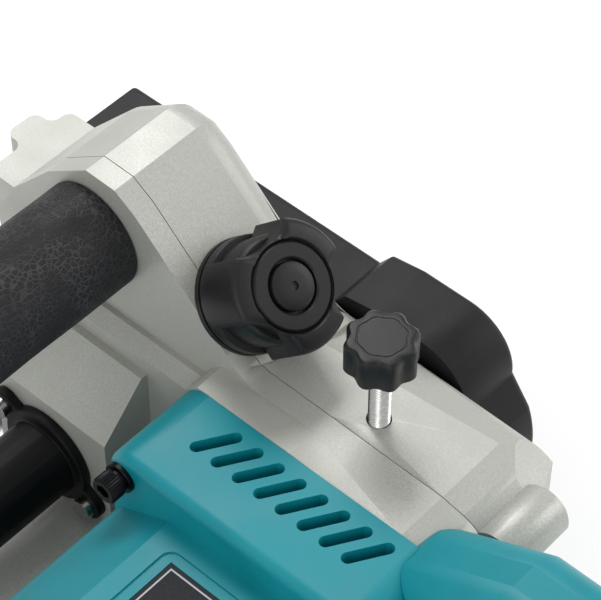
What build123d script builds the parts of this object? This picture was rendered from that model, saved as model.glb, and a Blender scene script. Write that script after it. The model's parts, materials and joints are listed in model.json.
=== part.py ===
from build123d import *
import os
from math import atan2, cos, degrees, radians, sin

# Hand-guided wide planer.
# +X runs towards the rear handle, -Y towards the motor side, +Z up. The origin lies on the face of the rear
# sole, straight below the stud of the lock knob but on the centre plane y = 0. All sizes are millimetres.

# ---------------------------------------------------------------- driving dimensions
FIT = 0.05                       # radial running fit
GAP = 0.3                        # space between pieces that move past each other
TOP_Z = 150.0                    # flat top of the housing
SOLE_LEFT, SOLE_RIGHT = -116.0, 55.0
SOLE_FRONT, SOLE_REAR = -190.0, 203.0
SOLE_T = 8.0
DECK_Z = 18.0                    # top of the frame's rear deck

DRUM_X, DRUM_Z = -95.0, 27.0     # axis of the cutter drum, along Y
KNIFE_R = 26.9                   # cutting circle
DRUM_R = 24.0
DRUM_Y0, DRUM_Y1 = -107.5, 46.5
TUNNEL_R, TUNNEL_WALL = 29.5, 5.0

MOTOR_X, MOTOR_Z = -3.0, 92.0    # axis of the motor, along Y
FLANGE = 115.0                   # square motor flange
FLANGE_Y0, FLANGE_Y1 = -47.0, -9.0
BARREL_HALF, BARREL_Y0, BARREL_FLAT = 56.0, -100.0, 133.0
END_CAP_Y = -121.0

SPLIT_Y = 12.0                   # plane between the two housing halves
HEAD_LEFT_Y, WALL_LEFT_Y, HOUSING_RIGHT = 3.0, -4.0, 55.0
GRIP_X, GRIP_Z, GRIP_R = -112.5, 175.5, 21.2
GRIP_END_Y = -113.0

KNOB = Vector(-59.4, 22.0, 166.4)    # centre of the depth knob's seat on the 45 degree slope
SCREW_R = 5.0
WAY = -173.0                         # x - z on the inclined way of the frame

STUD_X, STUD_Y, STUD_R = 0.0, 22.0, 3.9
NOZZLE_X, NOZZLE_Z, NOZZLE_R, NOZZLE_Y = -113.0, 82.0, 15.5, -27.0
LUG_ANGLE, LUG_AT = -31.0, 24.0  # the two screws of the nozzle flange
COVER_Y = 82.0
HANDLE_Y, HANDLE_HALF = -9.0, 19.0

MOTOR_PULLEY_R, DRUM_PULLEY_R = 16.0, 19.0
BELT_T, BELT_Y0, BELT_Y1 = 2.0, 61.0, 73.0


def side(y):
    """Sketch plane at this y whose sketch coordinates are x and z; extruding goes towards -Y."""
    return Plane.XZ.offset(-y)


def polar(x, z, radius, angle):
    """Point on a circle in the side view, angle in degrees from +X towards +Z."""
    return (x + radius * cos(radians(angle)), z + radius * sin(radians(angle)))


def finish(builder, name):
    builder.part.label = name
    export_step(builder.part, f"parts/{name}.step")


os.makedirs("parts", exist_ok=True)

SLOPE = Plane(origin=KNOB, x_dir=(0, 1, 0), z_dir=(1, 0, 1))     # its normal is the depth screw's axis


# ---------------------------------------------------------------- main frame and soles
def ring_y(x, z, outer, inner, y0, y1, mode=Mode.ADD):
    """Ring along Y, added to the part that is being built."""
    with BuildSketch(side(y1)) as outline:
        with Locations((x, z)):
            Circle(outer)
            if inner:
                Circle(inner, mode=Mode.SUBTRACT)
    extrude(outline.sketch, amount=y1 - y0, mode=mode)


def block(x0, x1, y0, y1, z0, z1, mode=Mode.ADD):
    """Box between these limits, added to or cut from the part that is being built."""
    with Locations(((x0 + x1) / 2, (y0 + y1) / 2, (z0 + z1) / 2)):
        Box(x1 - x0, y1 - y0, z1 - z0, mode=mode)


def prism_y(points, y0, y1, mode=Mode.ADD):
    """Polygon in the side view, extruded between two planes."""
    with BuildSketch(side(y1)) as outline:
        with BuildLine():
            Polyline(*points, close=True)
        make_face()
    extrude(outline.sketch, amount=y1 - y0, mode=mode)


BEARING_R, BEARING_W, SHAFT_R = 14.0, 8.0, 6.0
TUNNEL_OUT = TUNNEL_R + TUNNEL_WALL
SLOT_X0, SLOT_X1, SLOT_Y0, SLOT_Y1 = -124.0, -104.0, -24.0, 6.0      # chip duct out of the tunnel
COVER_SCREWS_LEFT = [polar(DRUM_X, DRUM_Z, 19, angle) for angle in (10, 90, 170)]
SOLE_SCREWS = [(x, y) for x in (-45.0, 70.0, 185.0) for y in (-100.0, 39.0)]
FENCE_X, FENCE_Z, FENCE_R, FENCE_L = 20.0, 13.0, 2.5, 16.0       # threaded hole for an edge guide

with BuildPart() as main_frame:
    ring_y(DRUM_X, DRUM_Z, TUNNEL_OUT, 0, SOLE_LEFT, SOLE_RIGHT)
    prism_y([(WAY + 11.5, 11.5), (WAY + 50, 50), (DRUM_X, 50), (DRUM_X, 11.5)], SOLE_LEFT, SOLE_RIGHT)
    block(DRUM_X, -58, SOLE_LEFT, SOLE_RIGHT, SOLE_T, 34)
    block(-62, SOLE_REAR - 5, SOLE_LEFT + 2, SOLE_RIGHT - 2, SOLE_T, DECK_Z)
    block(DRUM_X - 60, -58, SOLE_LEFT - 1, SOLE_RIGHT + 1, -60, SOLE_T, mode=Mode.SUBTRACT)
    block(DRUM_X - 60, DRUM_X - 10, SOLE_LEFT - 1, SOLE_RIGHT + 1, 0, 11.5, mode=Mode.SUBTRACT)
    ring_y(DRUM_X, DRUM_Z, TUNNEL_R, 0, SOLE_LEFT + 8, SOLE_RIGHT - 8, mode=Mode.SUBTRACT)
    ring_y(DRUM_X, DRUM_Z, BEARING_R, 0, SOLE_LEFT - 1, SOLE_RIGHT + 1, mode=Mode.SUBTRACT)
    block(SLOT_X0, SLOT_X1, SLOT_Y0, SLOT_Y1, 45, 70, mode=Mode.SUBTRACT)
    for screw_x, screw_z in COVER_SCREWS_LEFT:
        ring_y(screw_x, screw_z, 2, 0, SOLE_LEFT - 1, SOLE_LEFT + 6, mode=Mode.SUBTRACT)
    ring_y(FENCE_X, FENCE_Z, FENCE_R, 0, SOLE_LEFT + 2, SOLE_LEFT + 2 + FENCE_L, mode=Mode.SUBTRACT)
    with Locations(*[(x, y, SOLE_T) for x, y in SOLE_SCREWS]):
        Cylinder(2.5, 9, align=(Align.CENTER, Align.CENTER, Align.MIN), mode=Mode.SUBTRACT)
finish(main_frame, "main_frame")

with BuildPart() as rear_sole:
    prism_y([(-72, 0), (SOLE_REAR - 6, 0), (SOLE_REAR, 6), (SOLE_REAR, SOLE_T), (-66, SOLE_T)],
            SOLE_LEFT, SOLE_RIGHT)
    with Locations(*[Pos(x, y, 0) * Rot(180, 0, 0) for x, y in SOLE_SCREWS]):
        CounterSinkHole(2.5, 4.8, depth=SOLE_T)
finish(rear_sole, "rear_sole")

with BuildPart() as sole_screws:
    with BuildSketch(Plane.XZ):
        with BuildLine():
            Polyline((0, 0.4), (4.3, 0.4), (2.4, 2.3), (2.4, 16), (0, 16), close=True)
        make_face()
    screw = revolve(axis=Axis.Z, mode=Mode.PRIVATE)
    with Locations(*[(x, y, 0) for x, y in SOLE_SCREWS]):
        add(screw)
finish(sole_screws, "sole_screws")

# ---------------------------------------------------------------- silver housing, two halves
HEAD_TOP = 204.0
GROOVE_W, GROOVE_DEPTH = 0.3, 0.7    # shadow gap between two halves
FRONT_X, LUG_X = -181.0, -190.0
HOUSING_REAR = 56.5
EXT_Y = 14.0                     # left side of the front part of the right half


def housing_outline():
    """Side outline of the housing: rear shoulder, flat top, slope for the knob and the head."""
    with BuildSketch(side(0)) as outline:
        with BuildLine():
            Polyline((-148, 50), (-57.9, 50), (-57.9, DECK_Z), (HOUSING_REAR, DECK_Z), (HOUSING_REAR, 130))
            ThreePointArc((HOUSING_REAR, 130), (54, 140.5), (45, 146.8))
            Polyline((45, 146.8), (36, 148.7), (-12, TOP_Z), (-37, TOP_Z + 0.6))
            ThreePointArc((-37, TOP_Z + 0.6), (-45.5, 152.6), (-51.5, 158))
            Polyline((-51.5, 158), (-92, 197.5), (-101, 203.6), (-114.5, HEAD_TOP), (-134, 190), (-154, 168),
                     (-165, 148), (-148, 50))
        make_face()
    return outline.sketch


def groove(outline, plane_y):
    """Shadow gap along the edge of this outline, cut beside a parting plane, on its -Y side."""
    extrude(Pos(0, plane_y, 0) * (outline - offset(outline, -GROOVE_DEPTH)), amount=GROOVE_W,
            mode=Mode.SUBTRACT)


def housing_cavity(y0, y1):
    """Hollow inside the housing, between two planes, cut from the part that is being built."""
    prism_y([(-53, DECK_Z - 1), (50, DECK_Z - 1), (50, 128), (42, 138), (-36, 144), (-90, 189), (-104, 194),
             (-122, 190), (-146, 168), (-156, 146), (-146, 68), (-64, 68)], y0, y1, mode=Mode.SUBTRACT)


COVER_SCREWS = [(-160.0, 138.0), (-138.0, 62.0), (-60.0, 130.0), (-50.0, 59.0)]
HOUSING_SCREWS = [(44.0, 30.0), (44.0, 128.0), (-66.0, 78.0), (-147.0, 130.0)]
MOTOR_BOLTS = [(MOTOR_X + dx, MOTOR_Z + dz) for dx in (-50, 50) for dz in (-47, 47)]
BUSH_R, BUSH_L = 9.0, 26.0

BOSS_X, BOSS_Z, BOSS_R, BOSS_Y1 = 59.0, 137.0, 9.8, 39.0     # round boss behind the shoulder
BAND_Y = 36.0                    # where the top turns down into the smooth band on the belt side
BAND_DROP, BAND_DRAW = 0.24, 0.42    # its slope downwards and inwards
FAN_R = 43.0
FRONT_BEARING_R, FRONT_BEARING_W = 16.0, 10.0


def band_cut(origin, normal, along):
    """Cuts away everything above a plane from the housing's rear top corner on the belt side."""
    with Locations(Plane(origin=origin, x_dir=along, z_dir=normal)):
        Box(90, 90, 30, align=(Align.CENTER, Align.CENTER, Align.MIN), mode=Mode.SUBTRACT)


with BuildPart() as housing_right:
    extrude(Pos(0, SPLIT_Y, 0) * housing_outline(), amount=-(HOUSING_RIGHT - SPLIT_Y))
    far_edges = housing_right.faces().filter_by(Axis.Y).sort_by(Axis.Y)[-1].edges()
    fillet(far_edges.filter_by(lambda e: e.center().Z > 146 and e.center().X < -40), 13)
    band_cut((10, BAND_Y, TOP_Z), (0, BAND_DROP, 1), (1, 0, 0))
    band_cut((HOUSING_REAR + 0.4, BAND_Y, 120), (1, BAND_DRAW, 0), (0, 0, 1))
    band_cut((50.5, BAND_Y, 143.8), (0.6, 0.35, 0.8), (0.8, 0, -0.6))
    ring_y(BOSS_X, BOSS_Z, BOSS_R, 0, SPLIT_Y, BOSS_Y1 - 1)
    ring_y(BOSS_X, BOSS_Z, BOSS_R - 1, 0, SPLIT_Y, BOSS_Y1)
    block(FRONT_X, -150, EXT_Y, HOUSING_RIGHT, 84, TOP_Z)
    block(LUG_X, FRONT_X + 2, 31, 46, 118, TOP_Z)
    front_edges = housing_right.edges().filter_by(lambda e: e.center().X < -172 and e.center().Z > 100)
    fillet(front_edges.filter_by(Axis.Z), 4)
    housing_cavity(SPLIT_Y - 1, HOUSING_RIGHT - 4)
    block(FRONT_X + 4, -146, EXT_Y + 4, HOUSING_RIGHT - 4, 50, TOP_Z - 5, mode=Mode.SUBTRACT)
    ring_y(DRUM_X, DRUM_Z, TUNNEL_OUT + 0.02, 0, -10, 60, mode=Mode.SUBTRACT)
    ring_y(GRIP_X, GRIP_Z, 18, 11, SPLIT_Y, HOUSING_RIGHT - 3)
    ring_y(MOTOR_X, MOTOR_Z, 22, FRONT_BEARING_R, 41, HOUSING_RIGHT - 2)
    ring_y(MOTOR_X, MOTOR_Z, 10, 0, 40, 60, mode=Mode.SUBTRACT)
    ring_y(MOTOR_X, MOTOR_Z, FRONT_BEARING_R, 0, 43, 43 + FRONT_BEARING_W, mode=Mode.SUBTRACT)
    with Locations((STUD_X, STUD_Y, TOP_Z - 3)):
        Cylinder(9, 22, align=(Align.CENTER, Align.CENTER, Align.MAX))
    with Locations((STUD_X, STUD_Y, TOP_Z - 4)):
        Cylinder(6.5, 40, align=(Align.CENTER, Align.CENTER, Align.MAX), mode=Mode.SUBTRACT)
        Cylinder(STUD_R + 0.5, 9, align=(Align.CENTER, Align.CENTER, Align.MIN), mode=Mode.SUBTRACT)
    with Locations(SLOPE * Pos(0, 0, 1)):
        Cylinder(BUSH_R + 4, BUSH_L, align=(Align.CENTER, Align.CENTER, Align.MAX))
    with Locations(SLOPE):
        Cylinder(24, 12, align=(Align.CENTER, Align.CENTER, Align.MIN), mode=Mode.SUBTRACT)
        Cylinder(BUSH_R, 60, mode=Mode.SUBTRACT)
        Cylinder(SCREW_R + 1.5, 400, mode=Mode.SUBTRACT)
    for screw_x, screw_z in HOUSING_SCREWS:
        ring_y(screw_x, screw_z, 5, 0, SPLIT_Y, HOUSING_RIGHT - 3)
        ring_y(screw_x, screw_z, 1.9, 0, SPLIT_Y, 40, mode=Mode.SUBTRACT)
    for screw_x, screw_z in COVER_SCREWS:
        ring_y(screw_x, screw_z, 2, 0, HOUSING_RIGHT - 3.5, HOUSING_RIGHT + 1, mode=Mode.SUBTRACT)
finish(housing_right, "housing_right")

CHUTE = (-141.0, -84.0, 58.0, 128.0)        # block around the chip duct: x0, x1, z0, z1

with BuildPart() as housing_left:
    extrude(Pos(0, SPLIT_Y, 0) * housing_outline(), amount=SPLIT_Y - HEAD_LEFT_Y)
    prism_y([(-148, 50), (-57.9, 50), (-57.9, DECK_Z), (HOUSING_REAR, DECK_Z), (HOUSING_REAR, 130),
             (52, 140), (-160.5, 140)], WALL_LEFT_Y, HEAD_LEFT_Y)
    ledge = housing_left.edges().filter_by(lambda e: e.center().Y < WALL_LEFT_Y + 0.1 and e.center().Z > 139)
    chamfer(ledge, 5)
    prism_y([(-60, 35), (HOUSING_REAR, 35), (HOUSING_REAR, 130), (53.6, 140.5), (45, 146.8), (36, 148.7),
             (-12, TOP_Z), (-54, TOP_Z), (-60, 144)], FLANGE_Y1, HEAD_LEFT_Y)
    housing_cavity(HEAD_LEFT_Y + 4, SPLIT_Y + 1)
    block(CHUTE[0], CHUTE[1], NOZZLE_Y, SPLIT_Y, CHUTE[2], CHUTE[3])
    chamfer(housing_left.edges().filter_by(Axis.X).filter_by(
        lambda e: e.center().Y < NOZZLE_Y + 1 and e.center().Z > CHUTE[3] - 1), 20)
    ring_y(DRUM_X, DRUM_Z, TUNNEL_OUT + 0.02, 0, -30, 20, mode=Mode.SUBTRACT)
    ring_y(NOZZLE_X, NOZZLE_Z, NOZZLE_R - 1.5, 0, NOZZLE_Y - 1, SLOT_Y1, mode=Mode.SUBTRACT)
    for turn in (LUG_ANGLE, LUG_ANGLE + 180):
        ring_y(*polar(NOZZLE_X, NOZZLE_Z, LUG_AT, turn), 2.2, 0, NOZZLE_Y - 1, NOZZLE_Y + 10.5,
               mode=Mode.SUBTRACT)
    block(SLOT_X0, SLOT_X1, SLOT_Y0, SLOT_Y1, 40, NOZZLE_Z, mode=Mode.SUBTRACT)
    ring_y(GRIP_X, GRIP_Z, 18, 11, HEAD_LEFT_Y, SPLIT_Y)
    ring_y(GRIP_X, GRIP_Z, 11, 0, 0, SPLIT_Y + 1, mode=Mode.SUBTRACT)
    ring_y(MOTOR_X, MOTOR_Z, FAN_R + 3, 0, FLANGE_Y1 - 1, SPLIT_Y + 1, mode=Mode.SUBTRACT)
    with Locations(SLOPE):
        Cylinder(24, 12, align=(Align.CENTER, Align.CENTER, Align.MIN), mode=Mode.SUBTRACT)
        Cylinder(BUSH_R + 4.1, 400, mode=Mode.SUBTRACT)
    for screw_x, screw_z in HOUSING_SCREWS:
        ring_y(screw_x, screw_z, 5, 0, 0, SPLIT_Y)
        ring_y(screw_x, screw_z, 2.1, 0, FLANGE_Y1 - 1, SPLIT_Y + 1, mode=Mode.SUBTRACT)
        ring_y(screw_x, screw_z, 4, 0, FLANGE_Y1 - 1, -1, mode=Mode.SUBTRACT)
    for bolt_x, bolt_z in MOTOR_BOLTS:
        ring_y(bolt_x, bolt_z, 2.6, 0, FLANGE_Y1 - 1, SPLIT_Y - 2, mode=Mode.SUBTRACT)
    groove(housing_outline(), SPLIT_Y)
finish(housing_left, "housing_left")

# ---------------------------------------------------------------- front shoe, depth screw and knob
SHOE_REAR = -124.0
SHOE_Y1 = SOLE_RIGHT - 0.5
NUT_AT, NUT_L = 147.0, 16.0          # distance of the nut's upper face from the knob's seat, along the screw
SCREW_L = 166.0
NUT_R = 7.0
RIM_REAR, RIM_Z, RIM_T = -165.0, 18.0, 4.0    # low rim round the front of the shoe, clear of the way at full travel
GUIDES = [(-104.0, -76.0, 36.0), (6.0, 46.0, 46.0)]      # inclined blocks: y0, y1, top


def shoe_guide(top):
    """Side outline of an inclined guide block whose rear face runs along the way of the frame."""
    way = WAY - 0.15
    return [(-186, SOLE_T - 1), (way + SOLE_T - 1, SOLE_T - 1), (way + top - 8, top - 8), (way + top - 16, top),
            (-176, top), (-186, top - 10)]


with BuildPart() as front_shoe:
    prism_y([(SOLE_FRONT + 7, 0), (SHOE_REAR, 0), (SHOE_REAR - 5, SOLE_T), (SOLE_FRONT, SOLE_T),
             (SOLE_FRONT, 7)], SOLE_LEFT, SHOE_Y1)
    block(SOLE_FRONT, SOLE_FRONT + RIM_T, SOLE_LEFT, SHOE_Y1, SOLE_T, RIM_Z)
    for rim_y in (SOLE_LEFT, SHOE_Y1 - RIM_T):
        block(SOLE_FRONT, RIM_REAR, rim_y, rim_y + RIM_T, SOLE_T, RIM_Z)
    for guide_y0, guide_y1, guide_top in GUIDES:
        prism_y(shoe_guide(guide_top), guide_y0, guide_y1)
    prism_y([(-186, 30), (-156, 30), (-156, 70), (-176, 70), (-186, 60)], 11, 33)
    with Locations(SLOPE * Pos(0, 0, -NUT_AT)):
        Cylinder(NUT_R, 60, align=(Align.CENTER, Align.CENTER, Align.MIN), mode=Mode.SUBTRACT)
        Cylinder(NUT_R, NUT_L, align=(Align.CENTER, Align.CENTER, Align.MAX), mode=Mode.SUBTRACT)
        Cylinder(SCREW_R + 1, 12 + NUT_L, align=(Align.CENTER, Align.CENTER, Align.MAX), mode=Mode.SUBTRACT)
finish(front_shoe, "front_shoe")

with BuildPart() as depth_nut:
    with Locations(SLOPE * Pos(0, 0, -NUT_AT)):
        Cylinder(NUT_R, NUT_L, align=(Align.CENTER, Align.CENTER, Align.MAX))
        Cylinder(SCREW_R + FIT, 60, mode=Mode.SUBTRACT)
finish(depth_nut, "depth_nut")

with BuildPart() as depth_bushing:
    with Locations(SLOPE):
        Cylinder(BUSH_R, BUSH_L - 1, align=(Align.CENTER, Align.CENTER, Align.MAX))
        Cylinder(BUSH_R + 3, 1.6, align=(Align.CENTER, Align.CENTER, Align.MIN))
        Cylinder(SCREW_R + FIT, 90, mode=Mode.SUBTRACT)
finish(depth_bushing, "depth_bushing")

with BuildPart() as scale_ring:
    with Locations(SLOPE):
        Cylinder(20.5, 2.4, align=(Align.CENTER, Align.CENTER, Align.MIN))
        Cylinder(BUSH_R + 3, 10, mode=Mode.SUBTRACT)
    with Locations(SLOPE * Pos(0, -19.5, 0)):
        Box(3, 5, 2.4, align=(Align.CENTER, Align.CENTER, Align.MIN))
finish(scale_ring, "scale_ring")

with BuildPart() as depth_screw:
    with Locations(SLOPE * Pos(0, 0, 22)):
        Cylinder(SCREW_R, SCREW_L + 22, align=(Align.CENTER, Align.CENTER, Align.MAX))
    with Locations(SLOPE * Pos(0, 0, -BUSH_L + 1 - 0.2)):
        Cylinder(SCREW_R + 1.3, 3, align=(Align.CENTER, Align.CENTER, Align.MAX))
finish(depth_screw, "depth_screw")

KNOB_H, KNOB_R, KNOB_LOBES = 30.0, 23.0, 3
KNOB_Z = 2.8

with BuildPart() as depth_knob:
    with BuildSketch(SLOPE.offset(KNOB_Z)):
        Circle(20.5)
    extrude(amount=KNOB_H - KNOB_Z - 9)
    with BuildSketch(SLOPE.offset(KNOB_Z + 6)):
        Circle(KNOB_R)
        with PolarLocations(KNOB_R + 17.5, KNOB_LOBES, start_angle=210):
            Circle(23.5, mode=Mode.SUBTRACT)
    extrude(amount=KNOB_H - KNOB_Z - 6)
    with Locations(SLOPE.offset(KNOB_H)):
        Cylinder(9.4, 3, align=(Align.CENTER, Align.CENTER, Align.MAX), mode=Mode.SUBTRACT)
    with Locations(SLOPE.offset(22)):
        Cylinder(SCREW_R, 40, align=(Align.CENTER, Align.CENTER, Align.MAX), mode=Mode.SUBTRACT)
finish(depth_knob, "depth_knob")

with BuildPart() as depth_knob_cap:
    with Locations(SLOPE.offset(KNOB_H - 3)):
        Cylinder(8.4, 3.6, align=(Align.CENTER, Align.CENTER, Align.MIN))
    with Locations(SLOPE.offset(KNOB_H + 0.6)):
        Cylinder(1.6, 0.8, align=(Align.CENTER, Align.CENTER, Align.MAX), mode=Mode.SUBTRACT)
finish(depth_knob_cap, "depth_knob_cap")

# ---------------------------------------------------------------- lock knob on its stud
LOCK_Z, LOCK_H, LOCK_R, LOCK_LOBES = 178.0, 14.0, 13.0, 8
INSERT_Z = 127.0

with BuildPart() as lock_insert:
    with Locations((STUD_X, STUD_Y, INSERT_Z)):
        Cylinder(6.5, TOP_Z - 4.2 - INSERT_Z, align=(Align.CENTER, Align.CENTER, Align.MIN))
        Cylinder(STUD_R + FIT, 80, mode=Mode.SUBTRACT)
finish(lock_insert, "lock_insert")

with BuildPart() as lock_stud:
    with Locations((STUD_X, STUD_Y, 118)):
        Cylinder(STUD_R, LOCK_Z + 9 - 118, align=(Align.CENTER, Align.CENTER, Align.MIN))
        Cylinder(2.5, 4, align=(Align.CENTER, Align.CENTER, Align.MAX))
finish(lock_stud, "lock_stud")

with BuildPart() as lock_knob:
    with BuildSketch(Plane.XY.offset(LOCK_Z)):
        with Locations((STUD_X, STUD_Y)):
            Circle(LOCK_R - 1.8)
            with PolarLocations(LOCK_R - 3.4, LOCK_LOBES, start_angle=11):
                Circle(3.4)
    extrude(amount=LOCK_H)
    chamfer(lock_knob.faces().sort_by(Axis.Z)[-1].edges(), 0.8)
    with Locations((STUD_X, STUD_Y, LOCK_Z)):
        Cylinder(7, 1.5, align=(Align.CENTER, Align.CENTER, Align.MAX))
        Cylinder(STUD_R, 9, align=(Align.CENTER, Align.CENTER, Align.MIN), mode=Mode.SUBTRACT)
        Cylinder(STUD_R, 9, align=(Align.CENTER, Align.CENTER, Align.MAX), mode=Mode.SUBTRACT)
finish(lock_knob, "lock_knob")

with BuildPart() as clamp_pad:
    with Locations((STUD_X, STUD_Y, 118 - 0.05)):
        Cylinder(8, 6, align=(Align.CENTER, Align.CENTER, Align.MAX))
        Cylinder(2.5 + FIT, 4, align=(Align.CENTER, Align.CENTER, Align.MAX), mode=Mode.SUBTRACT)
finish(clamp_pad, "clamp_pad")

# ---------------------------------------------------------------- front grip
with BuildPart() as grip_core:
    ring_y(GRIP_X, GRIP_Z, 11, 8, GRIP_END_Y, 50)
finish(grip_core, "grip_core")

with BuildPart() as grip_foam:
    ring_y(GRIP_X, GRIP_Z, GRIP_R, 11, GRIP_END_Y, HEAD_LEFT_Y)
finish(grip_foam, "grip_foam")

with BuildPart() as grip_end_cap:
    ring_y(GRIP_X, GRIP_Z, GRIP_R + 1, 0, GRIP_END_Y - 5, GRIP_END_Y)
    chamfer(grip_end_cap.faces().sort_by(Axis.Y)[0].edges(), 2)
    ring_y(GRIP_X, GRIP_Z, 8, 0, GRIP_END_Y, GRIP_END_Y + 12)
finish(grip_end_cap, "grip_end_cap")

# ---------------------------------------------------------------- chip nozzle
LUGS = [polar(NOZZLE_X, NOZZLE_Z, LUG_AT, LUG_ANGLE + turn) for turn in (0, 180)]
FLANGE_T = 4.0

with BuildPart() as chip_nozzle:
    with BuildSketch(side(NOZZLE_Y)):
        with Locations((NOZZLE_X, NOZZLE_Z)):
            Circle(20)
            SlotCenterToCenter(2 * LUG_AT, 12, rotation=LUG_ANGLE)
        with Locations(*LUGS):
            Circle(2.3, mode=Mode.SUBTRACT)
        with Locations((NOZZLE_X, NOZZLE_Z)):
            Circle(NOZZLE_R - 2.5, mode=Mode.SUBTRACT)
    extrude(amount=FLANGE_T)
    ring_y(NOZZLE_X, NOZZLE_Z, NOZZLE_R, NOZZLE_R - 2.5, -100, NOZZLE_Y - FLANGE_T)
    ring_y(NOZZLE_X, NOZZLE_Z, NOZZLE_R + 1.5, NOZZLE_R, -100, -92)
finish(chip_nozzle, "chip_nozzle")

with BuildPart() as nozzle_screws:
    for lug_x, lug_z in LUGS:
        ring_y(lug_x, lug_z, 4.2, 0, NOZZLE_Y - FLANGE_T - 3, NOZZLE_Y - FLANGE_T)
        ring_y(lug_x, lug_z, 2.2, 0, NOZZLE_Y - FLANGE_T, NOZZLE_Y + 10)
finish(nozzle_screws, "nozzle_screws")

# ---------------------------------------------------------------- motor
SLOT_PITCH, SLOT_COUNT, SLOT_W, SLOT_LEN = 9.5, 8, 4.5, 18.0
SLOT_ANGLE = degrees(atan2(15.3, 9.6))
BRUSH_Y, BRUSH_R = -93.3, 6.0
CAP_SCREWS = [polar(MOTOR_X, MOTOR_Z, 42, angle) for angle in (35, 145, 215, 325)]


SHOULDER_H, SHOULDER_W = 15.0, 27.5       # slope between the barrel's flat top and its flanks
PANEL_DEPTH = 0.8


def rounded_flange(inset):
    """Square motor flange in the side view, its corners rounded; inset moves the outline inwards."""
    with BuildSketch(side(0)) as outline:
        with Locations((MOTOR_X, MOTOR_Z + 0.25)):
            RectangleRounded(FLANGE - 2 * inset, FLANGE - 2 * inset, 12 - inset / 2)
    return outline.sketch


def barrel_outline():
    """Motor barrel in the side view: flat top and bottom, sloping shoulders and rounded flanks."""
    rise = BARREL_FLAT - MOTOR_Z
    with BuildSketch(side(0)) as outline:
        with Locations((MOTOR_X, MOTOR_Z)):
            Rectangle(2 * BARREL_HALF, 2 * rise)
        chamfer(outline.vertices(), SHOULDER_H, SHOULDER_W)
        flanks = outline.vertices().filter_by(lambda v: abs(v.X - MOTOR_X) > BARREL_HALF - 1)
        fillet(flanks, 12)
    return outline.sketch


with BuildPart() as motor_housing:
    extrude(Pos(0, FLANGE_Y1, 0) * rounded_flange(0), amount=FLANGE_Y1 - FLANGE_Y0)
    rim = motor_housing.faces().sort_by(Axis.Y)[0].edges()
    fillet(rim, 4)
    extrude(Pos(0, FLANGE_Y0, 0) * barrel_outline(), amount=FLANGE_Y0 - BARREL_Y0)
    ring_y(MOTOR_X, MOTOR_Z, FAN_R + 3, 0, FLANGE_Y0 + 4, FLANGE_Y1 + 1, mode=Mode.SUBTRACT)
    ring_y(MOTOR_X, MOTOR_Z, 37, 0, BARREL_Y0 - 1, FLANGE_Y1 + 1, mode=Mode.SUBTRACT)
    for bolt_x, bolt_z in MOTOR_BOLTS:
        ring_y(bolt_x, bolt_z, 2.6, 0, FLANGE_Y0 - 1, FLANGE_Y1 + 1, mode=Mode.SUBTRACT)
    with BuildSketch(Plane.XY.offset(MOTOR_Z + FLANGE / 2 + 2)) as slots:
        with Locations((MOTOR_X + 2.75, -21.6)):
            with GridLocations(SLOT_PITCH, 0, SLOT_COUNT, 1):
                SlotOverall(SLOT_LEN, SLOT_W, rotation=SLOT_ANGLE)
    extrude(amount=-28, mode=Mode.SUBTRACT)
    with BuildSketch(Plane.XY.offset(BARREL_FLAT)):
        with Locations((-2, -77)):
            RectangleRounded(44.4, 46, 4.5)
    extrude(amount=-PANEL_DEPTH, mode=Mode.SUBTRACT)
    with Locations((-2, -77, BARREL_FLAT - PANEL_DEPTH)):
        Box(36.4, 38.4, 1.2, align=(Align.CENTER, Align.CENTER, Align.MAX), mode=Mode.SUBTRACT)
    for brush_side in (-1, 1):
        with Locations(Pos(MOTOR_X, BRUSH_Y, MOTOR_Z) * Rot(0, 90 * brush_side, 0)):
            Cylinder(BRUSH_R, 60, align=(Align.CENTER, Align.CENTER, Align.MIN), mode=Mode.SUBTRACT)
    for screw_x, screw_z in CAP_SCREWS:
        ring_y(screw_x, screw_z, 1.9, 0, BARREL_Y0 - 1, BARREL_Y0 + 12, mode=Mode.SUBTRACT)
finish(motor_housing, "motor_housing")

with BuildPart() as label_plate:
    with Locations((-2, -77, BARREL_FLAT - PANEL_DEPTH - 0.2)):
        Box(36, 38, 1, align=(Align.CENTER, Align.CENTER, Align.MAX))
finish(label_plate, "label_plate")

with BuildPart() as motor_bolts:
    for bolt_x, bolt_z in MOTOR_BOLTS:
        ring_y(bolt_x, bolt_z, 5.2, 0, FLANGE_Y0 - 9, FLANGE_Y0 - 3.2)
        ring_y(bolt_x, bolt_z, 4.6, 0, FLANGE_Y0 - 3.2, FLANGE_Y0 - 1.8)
        ring_y(bolt_x, bolt_z, 6.0, 0, FLANGE_Y0 - 1.8, FLANGE_Y0)
        ring_y(bolt_x, bolt_z, 2.6, 0, FLANGE_Y0, SPLIT_Y - 2)
        ring_y(bolt_x, bolt_z, 2.5, 0, FLANGE_Y0 - 10, FLANGE_Y0 - 6, mode=Mode.SUBTRACT)
finish(motor_bolts, "motor_bolts")

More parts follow.
